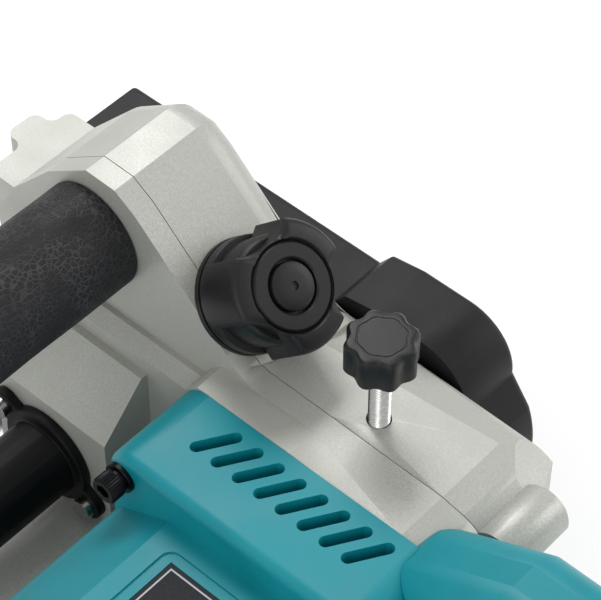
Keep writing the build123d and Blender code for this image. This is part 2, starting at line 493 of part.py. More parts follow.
with BuildPart() as motor_end_cap:
    extrude(Pos(0, BARREL_Y0, 0) * barrel_outline(), amount=BARREL_Y0 - END_CAP_Y)
    fillet(motor_end_cap.faces().sort_by(Axis.Y)[0].edges(), 7)
    ring_y(MOTOR_X, MOTOR_Z, 34, 0, -108, BARREL_Y0 + 1, mode=Mode.SUBTRACT)
    ring_y(MOTOR_X, MOTOR_Z, 13, 0, -116, BARREL_Y0, mode=Mode.SUBTRACT)
    for screw_x, screw_z in CAP_SCREWS:
        ring_y(screw_x, screw_z, 3.6, 0, END_CAP_Y - 1, END_CAP_Y + 5, mode=Mode.SUBTRACT)
        ring_y(screw_x, screw_z, 1.9, 0, END_CAP_Y, BARREL_Y0 + 1, mode=Mode.SUBTRACT)
    with BuildSketch(side(END_CAP_Y)):
        with Locations((MOTOR_X, MOTOR_Z)):
            with PolarLocations(25, 10):
                SlotOverall(16, 3.6)
    extrude(amount=-15, mode=Mode.SUBTRACT)
finish(motor_end_cap, "motor_end_cap")

with BuildPart() as end_cap_screws:
    for screw_x, screw_z in CAP_SCREWS:
        ring_y(screw_x, screw_z, 3.4, 0, END_CAP_Y + 1, END_CAP_Y + 5)
        ring_y(screw_x, screw_z, 1.9, 0, END_CAP_Y + 5, BARREL_Y0 + 12)
finish(end_cap_screws, "end_cap_screws")

with BuildPart() as field_core:
    ring_y(MOTOR_X, MOTOR_Z, 37, 23, -82, -51)
finish(field_core, "field_core")

with BuildPart() as field_coils:
    for coil_y in (-84.5, -48.5):
        ring_y(MOTOR_X, MOTOR_Z, 35, 25, coil_y - 2.5, coil_y + 2.5)
finish(field_coils, "field_coils")

with BuildPart() as fan_baffle:
    ring_y(MOTOR_X, MOTOR_Z, FAN_R + 3, 30, -28, -25)
finish(fan_baffle, "fan_baffle")

with BuildPart() as front_motor_bearing:
    ring_y(MOTOR_X, MOTOR_Z, FRONT_BEARING_R, SHAFT_R + FIT, 43, 53)
finish(front_motor_bearing, "front_motor_bearing")

with BuildPart() as rear_motor_bearing:
    ring_y(MOTOR_X, MOTOR_Z, 13, 5 + FIT, -116, -108)
finish(rear_motor_bearing, "rear_motor_bearing")

with BuildPart() as brush_holders:
    for brush_side in (-1, 1):
        with Locations(Pos(MOTOR_X, BRUSH_Y, MOTOR_Z) * Rot(0, 90 * brush_side, 0) * Pos(0, 0, 17)):
            Cylinder(BRUSH_R, BARREL_HALF - 23, align=(Align.CENTER, Align.CENTER, Align.MIN))
            Box(8, 6, 80, mode=Mode.SUBTRACT)
finish(brush_holders, "brush_holders")

with BuildPart() as carbon_brushes:
    for brush_side in (-1, 1):
        with Locations(Pos(MOTOR_X, BRUSH_Y, MOTOR_Z) * Rot(0, 90 * brush_side, 0) * Pos(0, 0, 14 + GAP)):
            Box(8, 6, 26, align=(Align.CENTER, Align.CENTER, Align.MIN))
finish(carbon_brushes, "carbon_brushes")

with BuildPart() as brush_caps:
    for brush_side in (-1, 1):
        with Locations(Pos(MOTOR_X, BRUSH_Y, MOTOR_Z) * Rot(0, 90 * brush_side, 0)
                       * Pos(0, 0, BARREL_HALF - 6)):
            Cylinder(BRUSH_R, 6.5, align=(Align.CENTER, Align.CENTER, Align.MIN))
        with Locations(Pos(MOTOR_X, BRUSH_Y, MOTOR_Z) * Rot(0, 90 * brush_side, 0)
                       * Pos(0, 0, BARREL_HALF + 0.5)):
            Box(10, 1.6, 2.4, mode=Mode.SUBTRACT)
finish(brush_caps, "brush_caps")

# ---------------------------------------------------------------- armature
with BuildPart() as armature_shaft:
    ring_y(MOTOR_X, MOTOR_Z, SHAFT_R, 0, -102, 79)
    ring_y(MOTOR_X, MOTOR_Z, 5, 0, -115.5, -102)
finish(armature_shaft, "armature_shaft")

with BuildPart() as armature_core:
    ring_y(MOTOR_X, MOTOR_Z, 22, SHAFT_R, -83, -53)
    with BuildSketch(side(-52)):
        with Locations((MOTOR_X, MOTOR_Z)):
            with PolarLocations(21.5, 12):
                Rectangle(5, 2.4)
    extrude(amount=32, mode=Mode.SUBTRACT)
finish(armature_core, "armature_core")

with BuildPart() as commutator:
    ring_y(MOTOR_X, MOTOR_Z, 14, SHAFT_R, -99, -87)
finish(commutator, "commutator")

with BuildPart() as cooling_fan:
    ring_y(MOTOR_X, MOTOR_Z, FAN_R, 12, -12, -10)
    ring_y(MOTOR_X, MOTOR_Z, 12, SHAFT_R, -24, -8)
    with BuildSketch(side(-12)):
        with Locations((MOTOR_X, MOTOR_Z)):
            with PolarLocations(27.2, 11):
                Rectangle(31, 2, rotation=0)
    extrude(amount=11)
finish(cooling_fan, "cooling_fan")

with BuildPart() as motor_pulley:
    ring_y(MOTOR_X, MOTOR_Z, MOTOR_PULLEY_R, SHAFT_R, BELT_Y0 - 0.5, BELT_Y1 + 0.5)
    for flange_y in (BELT_Y0 - 2.5, BELT_Y1 + 0.5):
        ring_y(MOTOR_X, MOTOR_Z, MOTOR_PULLEY_R + 2, SHAFT_R, flange_y, flange_y + 2)
finish(motor_pulley, "motor_pulley")

with BuildPart() as motor_pulley_nut:
    with BuildSketch(side(BELT_Y1 + 8)):
        with Locations((MOTOR_X, MOTOR_Z)):
            RegularPolygon(10, 6)
            Circle(SHAFT_R, mode=Mode.SUBTRACT)
    extrude(amount=5.5)
finish(motor_pulley_nut, "motor_pulley_nut")

# ---------------------------------------------------------------- cutter drum
KNIFE_T, CLAMP_T, SEAT_R = 3.0, 7.0, 12.0
CLAMP_SCREW_Y = [DRUM_Y0 + 14 + 25.2 * step for step in range(6)]


def drum_turn(turn):
    """Location on the drum axis whose local z runs radially out at this angle and local y along the axis."""
    return Pos(DRUM_X, (DRUM_Y0 + DRUM_Y1) / 2, DRUM_Z) * Rot(0, turn, 0)


DRUM_L = DRUM_Y1 - DRUM_Y0
TURNS = [90, 270]

with BuildPart() as drum:
    ring_y(DRUM_X, DRUM_Z, DRUM_R, 0, DRUM_Y0, DRUM_Y1)
    ring_y(DRUM_X, DRUM_Z, SHAFT_R, 0, SOLE_LEFT + 0.5, DRUM_Y0)
    ring_y(DRUM_X, DRUM_Z, SHAFT_R, 0, DRUM_Y1, 79)
    for turn in TURNS:
        with Locations(drum_turn(turn) * Pos(CLAMP_T / 2, 0, SEAT_R)):
            Box(KNIFE_T + CLAMP_T, DRUM_L + 1, 30, align=(Align.CENTER, Align.CENTER, Align.MIN),
                mode=Mode.SUBTRACT)
finish(drum, "drum")

with BuildPart() as planer_knives:
    for turn in TURNS:
        with Locations(drum_turn(turn) * Pos(0, 0, SEAT_R)):
            Box(KNIFE_T, DRUM_L, KNIFE_R - SEAT_R - 0.3, align=(Align.CENTER, Align.CENTER, Align.MIN))
finish(planer_knives, "planer_knives")

with BuildPart() as knife_clamps:
    for turn in TURNS:
        with Locations(drum_turn(turn) * Pos((KNIFE_T + CLAMP_T) / 2, 0, SEAT_R)):
            Box(CLAMP_T, DRUM_L, 10, align=(Align.CENTER, Align.CENTER, Align.MIN))
        for screw_y in CLAMP_SCREW_Y:
            with Locations(drum_turn(turn) * Pos(5, screw_y - (DRUM_Y0 + DRUM_Y1) / 2, SEAT_R + 2)):
                Cylinder(2.6, 20, align=(Align.CENTER, Align.CENTER, Align.MIN), mode=Mode.SUBTRACT)
finish(knife_clamps, "knife_clamps")

with BuildPart() as knife_clamp_screws:
    for turn in TURNS:
        for screw_y in CLAMP_SCREW_Y:
            with Locations(drum_turn(turn) * Pos(5, screw_y - (DRUM_Y0 + DRUM_Y1) / 2, SEAT_R + 2)):
                Cylinder(2.6, 8.5, align=(Align.CENTER, Align.CENTER, Align.MIN))
finish(knife_clamp_screws, "knife_clamp_screws")

with BuildPart() as drum_pulley:
    ring_y(DRUM_X, DRUM_Z, DRUM_PULLEY_R, SHAFT_R, BELT_Y0 - 0.5, BELT_Y1 + 0.5)
    ring_y(DRUM_X, DRUM_Z, 10, SHAFT_R, SOLE_RIGHT + 0.5, BELT_Y0 - 0.5)
finish(drum_pulley, "drum_pulley")

with BuildPart() as drum_pulley_nut:
    with BuildSketch(side(BELT_Y1 + 5.5)):
        with Locations((DRUM_X, DRUM_Z)):
            RegularPolygon(9, 6)
            Circle(SHAFT_R, mode=Mode.SUBTRACT)
    extrude(amount=5)
finish(drum_pulley_nut, "drum_pulley_nut")

with BuildPart() as drum_bearing_left:
    ring_y(DRUM_X, DRUM_Z, BEARING_R, SHAFT_R + FIT, SOLE_LEFT, SOLE_LEFT + BEARING_W)
finish(drum_bearing_left, "drum_bearing_left")

with BuildPart() as drum_bearing_right:
    ring_y(DRUM_X, DRUM_Z, BEARING_R, SHAFT_R + FIT, SOLE_RIGHT - BEARING_W, SOLE_RIGHT)
finish(drum_bearing_right, "drum_bearing_right")

with BuildPart() as bearing_cover:
    with BuildSketch(side(SOLE_LEFT)):
        with BuildLine():
            ThreePointArc(polar(DRUM_X, DRUM_Z, 25, -25), polar(DRUM_X, DRUM_Z, 25, 90),
                          polar(DRUM_X, DRUM_Z, 25, 205))
            Line(polar(DRUM_X, DRUM_Z, 25, 205), polar(DRUM_X, DRUM_Z, 25, -25))
        make_face()
    extrude(amount=3)
    for screw_x, screw_z in COVER_SCREWS_LEFT:
        ring_y(screw_x, screw_z, 2, 0, SOLE_LEFT - 4, SOLE_LEFT + 1, mode=Mode.SUBTRACT)
finish(bearing_cover, "bearing_cover")

# ---------------------------------------------------------------- drive belt and its cover
def belt_loop(motor_r, drum_r):
    """Outline of a belt round both pulleys, at these radii."""
    run = Vector(MOTOR_X - DRUM_X, MOTOR_Z - DRUM_Z)
    lean = degrees(atan2(run.Y, run.X))
    spread = degrees(atan2(drum_r - motor_r, run.length))
    up, down = lean + 90 - spread, lean - 90 + spread
    with BuildSketch(side(0)) as outline:
        with BuildLine():
            Line(polar(DRUM_X, DRUM_Z, drum_r, up), polar(MOTOR_X, MOTOR_Z, motor_r, up))
            ThreePointArc(polar(MOTOR_X, MOTOR_Z, motor_r, up), polar(MOTOR_X, MOTOR_Z, motor_r, lean),
                          polar(MOTOR_X, MOTOR_Z, motor_r, down))
            Line(polar(MOTOR_X, MOTOR_Z, motor_r, down), polar(DRUM_X, DRUM_Z, drum_r, down))
            ThreePointArc(polar(DRUM_X, DRUM_Z, drum_r, down), polar(DRUM_X, DRUM_Z, drum_r, lean + 180),
                          polar(DRUM_X, DRUM_Z, drum_r, up))
        make_face()
    return outline.sketch


with BuildPart() as drive_belt:
    extrude(Pos(0, BELT_Y1, 0) * belt_loop(MOTOR_PULLEY_R + GAP + BELT_T, DRUM_PULLEY_R + GAP + BELT_T),
            amount=BELT_Y1 - BELT_Y0)
    extrude(Pos(0, BELT_Y1, 0) * belt_loop(MOTOR_PULLEY_R + GAP, DRUM_PULLEY_R + GAP),
            amount=BELT_Y1 - BELT_Y0, mode=Mode.SUBTRACT)
finish(drive_belt, "drive_belt")


def cover_outline():
    """Outline of the belt cover in the side view."""
    with BuildSketch(side(0)) as outline:
        with BuildLine():
            Polyline((-172, 34), (-172, TOP_Z), (-124, TOP_Z), (-117, 142), (-50, 142), (-44, 150), (-30, 152.5),
                     (-10, 152.5))
            ThreePointArc((-10, 152.5), (6, 146), (12, 130))
            Line((12, 130), (20.5, 118))
            ThreePointArc((20.5, 118), (23, 92), (13, 70))
            Line((13, 70), (-64, 6))
            ThreePointArc((-64, 6), (-80, 1.2), (-112, 1.2))
            Line((-112, 1.2), (-172, 34))
        make_face()
    return outline.sketch


BULGE_R = 18.5
BACK_RIM_W, BACK_RIM_T = 11.0, 2.5      # rim of the cover against the housing

with BuildPart() as belt_cover:
    extrude(Pos(0, COVER_Y, 0) * cover_outline(), amount=COVER_Y - HOUSING_RIGHT)
    fillet(belt_cover.faces().sort_by(Axis.Y)[-1].edges(), 3)
    ring_y(MOTOR_X, MOTOR_Z, BULGE_R, 0, COVER_Y - 3, COVER_Y + 8)
    fillet(belt_cover.faces().sort_by(Axis.Y)[-1].edges(), 3)
    with BuildSketch(side(COVER_Y - 3)):
        add(Pos(0, COVER_Y - 3, 0) * cover_outline())
        offset(amount=-3, kind=Kind.INTERSECTION, mode=Mode.REPLACE)
    extrude(amount=COVER_Y - 3 - HOUSING_RIGHT - BACK_RIM_T, mode=Mode.SUBTRACT)
    with BuildSketch(side(HOUSING_RIGHT + BACK_RIM_T + 0.1)):
        add(Pos(0, HOUSING_RIGHT + BACK_RIM_T + 0.1, 0) * cover_outline())
        offset(amount=-BACK_RIM_W, kind=Kind.INTERSECTION, mode=Mode.REPLACE)
    extrude(amount=BACK_RIM_T + 1, mode=Mode.SUBTRACT)
    ring_y(MOTOR_X, MOTOR_Z, BULGE_R - 2.5, 0, COVER_Y - 4, COVER_Y + 5.5, mode=Mode.SUBTRACT)
    for screw_x, screw_z in COVER_SCREWS:
        ring_y(screw_x, screw_z, 4.5, 0, HOUSING_RIGHT, COVER_Y - 3)
        ring_y(screw_x, screw_z, 2, 0, HOUSING_RIGHT - 1, COVER_Y + 1, mode=Mode.SUBTRACT)
        ring_y(screw_x, screw_z, 3.6, 0, COVER_Y - 2.5, COVER_Y + 1, mode=Mode.SUBTRACT)
finish(belt_cover, "belt_cover")

with BuildPart() as cover_screws:
    for screw_x, screw_z in COVER_SCREWS:
        ring_y(screw_x, screw_z, 2, 0, HOUSING_RIGHT - 3.5, COVER_Y - 2.5)
        ring_y(screw_x, screw_z, 3.4, 0, COVER_Y - 2.5, COVER_Y - 0.4)
    for screw_x, screw_z in COVER_SCREWS_LEFT:
        ring_y(screw_x, screw_z, 2, 0, SOLE_LEFT - 3, SOLE_LEFT + 6)
        ring_y(screw_x, screw_z, 3.4, 0, SOLE_LEFT - 5.1, SOLE_LEFT - 3)
finish(cover_screws, "cover_screws")

# ---------------------------------------------------------------- rear handle
NOSE_X, NOSE_Z, HANDLE_FRONT, HANDLE_REAR = 42.0, 124.0, 57.0, 203.0
SEAT = 0.15                      # space between the handle's nose and what it sits on
HANDLE_SCREWS = [(72.0, 44.0), (74.0, 140.0), (160.0, 144.0), (187.0, 84.0), (187.0, 34.0)]
TRIGGER_PIVOT = (108.0, 150.0)
SWITCH_X0, SWITCH_X1, SWITCH_Z0, SWITCH_Z1 = 118.0, 146.0, 151.0, 165.0
POCKET_HALF = 7.0                # half width of the pockets for the switch and the trigger
BUTTON_X, BUTTON_Z, BUTTON_R = 92.0, 158.0, 6.0


def handle_outline():
    """Outer outline of the rear handle in the side view, with its nose over the housing."""
    with BuildSketch(side(HANDLE_Y)) as outline:
        with BuildLine():
            Polyline((HANDLE_FRONT, DECK_Z), (HANDLE_FRONT, NOSE_Z), (NOSE_X, NOSE_Z), (NOSE_X, TOP_Z - 2.4),
                     (NOSE_X + 3, TOP_Z + 1.2), (84, 173), (128, 173), (172, 150), (197, 100),
                     (HANDLE_REAR, 58), (HANDLE_REAR, DECK_Z), close=True)
        make_face()
        fillet(outline.vertices().filter_by(lambda v: v.Z > 165), 30)
        fillet(outline.vertices().filter_by(lambda v: 171 < v.X < 198 and 99 < v.Z < 151), 35)
    return outline.sketch


def opening_outline():
    """Finger opening of the rear handle in the side view."""
    with BuildSketch(side(HANDLE_Y)) as outline:
        with BuildLine():
            Polyline((92, 52), (92, 112), (104, 136), (134, 138), (158, 122), (170, 92), (172, 52), close=True)
        make_face()
        fillet(outline.vertices(), 12)
    return outline.sketch


def handle_half(direction):
    """One half of the handle on this side of its parting plane, with its rounded edges and pockets."""
    far = -1 if direction > 0 else 0
    with BuildPart() as half:
        extrude(handle_outline() - opening_outline(), amount=-direction * HANDLE_HALF)
        fillet(half.faces().filter_by(Axis.Y).sort_by(Axis.Y)[far].inner_wires()[0].edges(), 6)
        rim = half.faces().filter_by(Axis.Y).sort_by(Axis.Y)[far].outer_wire().edges()
        fillet(rim.filter_by(lambda e: e.center().Z > 25 and e.center().X > 60), 14)
        with BuildSketch(Plane.XY) as plan:
            with Locations((NOSE_X + HANDLE_HALF, HANDLE_Y)):
                Circle(HANDLE_HALF)
            with Locations((NOSE_X + HANDLE_HALF + 75, HANDLE_Y)):
                Rectangle(150, 2 * HANDLE_HALF)
        extrude(plan.sketch, amount=250, mode=Mode.INTERSECT)
        block(SWITCH_X0, SWITCH_X1, HANDLE_Y - POCKET_HALF, HANDLE_Y + POCKET_HALF, SWITCH_Z0, SWITCH_Z1,
              mode=Mode.SUBTRACT)
        block(101, 150, HANDLE_Y - POCKET_HALF, HANDLE_Y + POCKET_HALF, 125, SWITCH_Z0, mode=Mode.SUBTRACT)
        block(101, 118, HANDLE_Y - POCKET_HALF, HANDLE_Y + POCKET_HALF, 150, 157, mode=Mode.SUBTRACT)
        ring_y(*TRIGGER_PIVOT, 2 + FIT, 0, HANDLE_Y - 13, HANDLE_Y + 13, mode=Mode.SUBTRACT)
        ring_y(BUTTON_X, BUTTON_Z, BUTTON_R + GAP, 0, HANDLE_Y - 20, HANDLE_Y - 5, mode=Mode.SUBTRACT)
        extrude(Pos(0, SPLIT_Y, 0) * offset(housing_outline(), SEAT), amount=SPLIT_Y - FLANGE_Y1,
                mode=Mode.SUBTRACT)
        extrude(Pos(0, FLANGE_Y1, 0) * rounded_flange(-SEAT), amount=FLANGE_Y1 - FLANGE_Y0, mode=Mode.SUBTRACT)
        for screw_x, screw_z in HANDLE_SCREWS:
            ring_y(screw_x, screw_z, 1.9, 0, HANDLE_Y - 20, HANDLE_Y + 12, mode=Mode.SUBTRACT)
            ring_y(screw_x, screw_z, 3.6, 0, HANDLE_Y - 20, HANDLE_Y - 12, mode=Mode.SUBTRACT)
        ring_x = Plane(origin=(HANDLE_REAR + 1, HANDLE_Y, 40), z_dir=(-1, 0, 0))
        with Locations(ring_x):
            Cylinder(6, 14, align=(Align.CENTER, Align.CENTER, Align.MIN), mode=Mode.SUBTRACT)
    return half.part


with BuildPart() as handle_left:
    add(handle_half(-1))
finish(handle_left, "handle_left")

with BuildPart() as handle_right:
    add(handle_half(1))
finish(handle_right, "handle_right")

with BuildPart() as case_screws:
    for screw_x, screw_z in HOUSING_SCREWS:
        ring_y(screw_x, screw_z, 1.9, 0, -1, 34)
        ring_y(screw_x, screw_z, 3.4, 0, -3.4, -1)
    for screw_x, screw_z in HANDLE_SCREWS:
        ring_y(screw_x, screw_z, 1.9, 0, HANDLE_Y - 12, HANDLE_Y + 12)
        ring_y(screw_x, screw_z, 3.4, 0, HANDLE_Y - 14.4, HANDLE_Y - 12)
finish(case_screws, "case_screws")

with BuildPart() as switch_body:
    block(SWITCH_X0, SWITCH_X1, HANDLE_Y - POCKET_HALF, HANDLE_Y + POCKET_HALF, SWITCH_Z0 + 1, SWITCH_Z1)
finish(switch_body, "switch_body")

with BuildPart() as cable_gland:
    with Locations(Plane(origin=(HANDLE_REAR - 13, HANDLE_Y, 40), z_dir=(1, 0, 0))):
        Cylinder(6, 13, align=(Align.CENTER, Align.CENTER, Align.MIN))
    with Locations(Plane(origin=(HANDLE_REAR, HANDLE_Y, 40), z_dir=(1, 0, 0))):
        Cylinder(7.5, 3, align=(Align.CENTER, Align.CENTER, Align.MIN))
        Cylinder(6, 5, align=(Align.CENTER, Align.CENTER, Align.MIN))
        Cylinder(3.6, 60, mode=Mode.SUBTRACT)
finish(cable_gland, "cable_gland")

TRIGGER_HALF = POCKET_HALF - 0.4
with BuildPart() as trigger:
    with BuildSketch(side(HANDLE_Y + TRIGGER_HALF)) as outline:
        with BuildLine():
            Polyline((103, 153), (104, 131), (110, 124), (116, 127), (138, 131), (144, 137), (144, 142),
                     (116, 146.5), (112, 153), close=True)
        make_face()
        fillet(outline.vertices().filter_by(lambda v: v.Z < 135), 2.5)
    extrude(amount=2 * TRIGGER_HALF)
    ring_y(*TRIGGER_PIVOT, 2, 0, HANDLE_Y - 12.5, HANDLE_Y + 12.5)
finish(trigger, "trigger")

with BuildPart() as lock_button:
    ring_y(BUTTON_X, BUTTON_Z, BUTTON_R, 0, HANDLE_Y - HANDLE_HALF - 2.5, HANDLE_Y - 9)
    chamfer(lock_button.faces().sort_by(Axis.Y)[0].edges(), 0.8)
finish(lock_button, "lock_button")

# ---------------------------------------------------------------- guide of the front shoe
GIB_Y = [-75.6, 46.4]             # inner sides of the two gib plates, just outside the guide blocks
GIB_T = 4.0

with BuildPart() as shoe_gibs:
    for gib_y in GIB_Y:
        prism_y([(WAY + 20, 20), (WAY + 36, 36), (WAY + 29, 43), (WAY + 13, 27)], gib_y, gib_y + GIB_T)
finish(shoe_gibs, "shoe_gibs")
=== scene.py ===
import json
from math import cos, radians, sin, tau

import bmesh
import bpy
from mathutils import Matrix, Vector


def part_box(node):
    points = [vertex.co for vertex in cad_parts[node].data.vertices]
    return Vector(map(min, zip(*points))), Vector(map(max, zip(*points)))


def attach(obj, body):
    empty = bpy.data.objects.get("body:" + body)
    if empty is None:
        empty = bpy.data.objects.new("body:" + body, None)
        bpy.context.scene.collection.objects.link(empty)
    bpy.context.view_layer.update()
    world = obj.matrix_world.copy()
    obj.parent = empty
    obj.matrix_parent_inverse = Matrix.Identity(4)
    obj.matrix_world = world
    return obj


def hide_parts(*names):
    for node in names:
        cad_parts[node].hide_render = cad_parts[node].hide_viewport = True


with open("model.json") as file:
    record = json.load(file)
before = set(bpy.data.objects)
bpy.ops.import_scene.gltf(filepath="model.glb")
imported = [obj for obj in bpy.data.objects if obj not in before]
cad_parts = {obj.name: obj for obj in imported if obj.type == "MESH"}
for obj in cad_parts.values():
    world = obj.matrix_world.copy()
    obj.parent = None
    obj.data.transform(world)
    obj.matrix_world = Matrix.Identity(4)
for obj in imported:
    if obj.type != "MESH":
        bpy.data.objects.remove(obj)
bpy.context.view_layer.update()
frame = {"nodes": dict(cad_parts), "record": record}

MM = 0.001
nodes = frame["nodes"]


# ---------------------------------------------------------------- camera, floor and light
def place_camera():
    """Looks down on the knobs from the rear left at the photographed angle, with a long lens."""
    azimuth, elevation = radians(42), radians(49)
    camera = bpy.data.objects.new("camera", bpy.data.cameras.new("camera"))
    back = Vector((sin(azimuth) * cos(elevation), -cos(azimuth) * cos(elevation), sin(elevation)))
    camera.location = (0.3119, -0.3635, 0.7796)
    camera.rotation_euler = back.to_track_quat("Z", "Y").to_euler()
    camera.data.lens = 143.8
    camera.data.sensor_width = 36
    camera.data.clip_start = 0.01
    bpy.context.scene.collection.objects.link(camera)
    bpy.context.scene.camera = camera


def area_light(name, location, target, size, power):
    lamp = bpy.data.lights.new(name, "AREA")
    lamp.shape = "DISK"
    lamp.size = size
    lamp.energy = power
    holder = bpy.data.objects.new(name, lamp)
    holder.location = location
    holder.rotation_euler = (Vector(location) - Vector(target)).to_track_quat("Z", "Y").to_euler()
    bpy.context.scene.collection.objects.link(holder)


def build_stage():
    """Pale seamless floor, an even studio dome and three soft lamps."""
    mesh = bpy.data.meshes.new("floor")
    reach, rings, segments = 6.0, 24, 64
    made = bmesh.new()
    loops = []
    for ring in range(rings + 1):
        radius = reach * (ring + 0.2) / rings
        rise = max(0.0, radius - 0.7 * reach) ** 2 * 0.4
        turns = [tau * k / segments for k in range(segments)]
        loops.append([made.verts.new((radius * cos(turn), radius * sin(turn), rise)) for turn in turns])
    made.faces.new(loops[0])
    for inner, outer in zip(loops, loops[1:]):
        for k in range(segments):
            made.faces.new((inner[k], outer[k], outer[k - 1], inner[k - 1]))
    bmesh.ops.recalc_face_normals(made, faces=made.faces)
    made.to_mesh(mesh)
    made.free()
    floor = bpy.data.objects.new("floor", mesh)
    bpy.context.scene.collection.objects.link(floor)
    finish = material("studio_floor", roughness=0.9)
    cloud = texture(finish, "TexNoise", {"Scale": 1.5, "Detail": 2.0})
    mottle(finish, cloud.outputs["Fac"], (0.94, 0.94, 0.94), (0.97, 0.97, 0.97))
    mesh.materials.append(finish)
    world = bpy.data.worlds.new("studio")
    bpy.context.scene.world = world
    world.use_nodes = True
    world.node_tree.nodes["Background"].inputs["Color"].default_value = (1.0, 1.0, 1.0, 1.0)
    world.node_tree.nodes["Background"].inputs["Strength"].default_value = 0.75
    area_light("key_lamp", (-0.9, 0.6, 1.5), (0, 0, 0.1), 0.8, 12)
    area_light("fill_lamp", (0.6, -1.4, 1.1), (0, 0, 0.1), 1.0, 6)
    area_light("back_lamp", (0.8, 1.3, 0.8), (0, 0, 0.1), 0.9, 7)
    bpy.context.scene.view_settings.view_transform = "Standard"


# ---------------------------------------------------------------- material helpers
def srgb(*values):
    """Colour given as 0 to 255, as it looks on a screen, in the linear values that shaders take."""
    return tuple((value / 255 / 12.92) if value < 10 else (((value / 255) + 0.055) / 1.055) ** 2.4
                 for value in values)


def material(name, roughness=0.5, metallic=0.0, **settings):
    """New node material; settings are other values of its shader, with _ for the spaces in their names."""
    made = bpy.data.materials.new(name)
    made.use_nodes = True
    shader = made.node_tree.nodes["Principled BSDF"]
    shader.inputs["Roughness"].default_value = roughness
    shader.inputs["Metallic"].default_value = metallic
    for setting, value in settings.items():
        shader.inputs[setting.replace("_", " ")].default_value = value
    return made


def add_node(made, kind, inputs, **settings):
    """Adds a node; an input that is another node's socket is linked, and any other value is set."""
    node = made.node_tree.nodes.new("ShaderNode" + kind)
    for setting, value in settings.items():
        setattr(node, setting, value)
    for name, value in inputs.items():
        if isinstance(value, bpy.types.NodeSocket):
            made.node_tree.links.new(value, node.inputs[name])
        else:
            node.inputs[name].default_value = value
    return node


def object_point(made):
    """The point being shaded, in metres in the object's own frame."""
    return add_node(made, "TexCoord", {}).outputs["Object"]


def texture(made, kind, inputs, stretch=(1.0, 1.0, 1.0), **settings):
    """Adds a procedural texture over the object's own frame; its scale is features per metre."""
    mapping = add_node(made, "Mapping", {"Vector": object_point(made), "Scale": stretch})
    return add_node(made, kind, {"Vector": mapping.outputs["Vector"], **inputs}, **settings)


def ramp(made, value, low, high):
    """Spreads the part of a value between low and high over 0 to 1."""
    spread = add_node(made, "MapRange", {"Value": value, "From Min": low, "From Max": high})
    return spread.outputs["Result"]


def mix_colours(made, factor, first, second):
    node = add_node(made, "Mix", {"Factor": factor}, data_type="RGBA")
    for socket, value in ((node.inputs[6], first), (node.inputs[7], second)):
        if isinstance(value, bpy.types.NodeSocket):
            made.node_tree.links.new(value, socket)
        else:
            socket.default_value = (*value, 1.0)
    return node.outputs[2]


def set_shader(made, name, value):
    made.node_tree.links.new(value, made.node_tree.nodes["Principled BSDF"].inputs[name])


def mottle(made, value, dark, light):
    """Base colour that runs between two tones with a texture."""
    set_shader(made, "Base Color", mix_colours(made, ramp(made, value, 0.3, 0.7), dark, light))


def bump(made, *layers):
    """Surface relief in layers of (height socket, depth in metres)."""
    normal = None
    for height, depth in layers:
        inputs = {"Height": height, "Distance": depth, "Strength": 1.0}
        if normal is not None:
            inputs["Normal"] = normal
        normal = add_node(made, "Bump", inputs).outputs["Normal"]
    set_shader(made, "Normal", normal)


def uneven_roughness(made, value, low, high):
    spread = add_node(made, "MapRange", {"Value": value, "From Min": 0.3, "From Max": 0.7,
                                         "To Min": low, "To Max": high})
    set_shader(made, "Roughness", spread.outputs["Result"])


# ---------------------------------------------------------------- materials
def silver_paint():
    """Metallic paint on castings: fine flakes and a soft orange peel."""
    made = material("silver_paint", metallic=0.25, Coat_Weight=0.1, Coat_Roughness=0.3)
    flakes = texture(made, "TexNoise", {"Scale": 1300.0, "Detail": 4.0, "Roughness": 0.6})
    peel = texture(made, "TexNoise", {"Scale": 420.0, "Detail": 2.0})
    clouds = texture(made, "TexNoise", {"Scale": 30.0, "Detail": 3.0})
    flake_mix = ramp(made, flakes.outputs["Fac"], 0.35, 0.65)
    paint = mix_colours(made, flake_mix, srgb(166, 167, 160), srgb(184, 185, 178))
    worn = mix_colours(made, ramp(made, clouds.outputs["Fac"], 0.35, 0.75), paint, srgb(170, 171, 164))
    set_shader(made, "Base Color", worn)
    uneven_roughness(made, clouds.outputs["Fac"], 0.38, 0.5)
    bump(made, (flakes.outputs["Fac"], 0.00005), (peel.outputs["Fac"], 0.00004))
    return made


def machined_metal(name, tone, roughness, stretch, pitch):
    """Bare metal with fine tool marks drawn out along one direction."""
    made = material(name, roughness=roughness, metallic=1.0)
    marks = texture(made, "TexNoise", {"Scale": pitch, "Detail": 5.0, "Roughness": 0.7}, stretch=stretch)
    mottle(made, marks.outputs["Fac"], srgb(*[channel * 0.86 for channel in tone]), srgb(*tone))
    uneven_roughness(made, marks.outputs["Fac"], roughness * 0.8, roughness * 1.25)
    bump(made, (marks.outputs["Fac"], 0.00003))
    return made


def moulded_plastic(name, dark, light, roughness, grain, depth, **settings):
    """Moulded plastic with a spark-eroded grain and slightly uneven gloss."""
    made = material(name, roughness=roughness, **settings)
    fine = texture(made, "TexNoise", {"Scale": grain, "Detail": 3.0, "Roughness": 0.55})
    broad = texture(made, "TexNoise", {"Scale": 45.0, "Detail": 2.0})
    mottle(made, broad.outputs["Fac"], srgb(*dark), srgb(*light))
    uneven_roughness(made, broad.outputs["Fac"], roughness * 0.88, roughness * 1.12)
    bump(made, (fine.outputs["Fac"], depth))
    return made


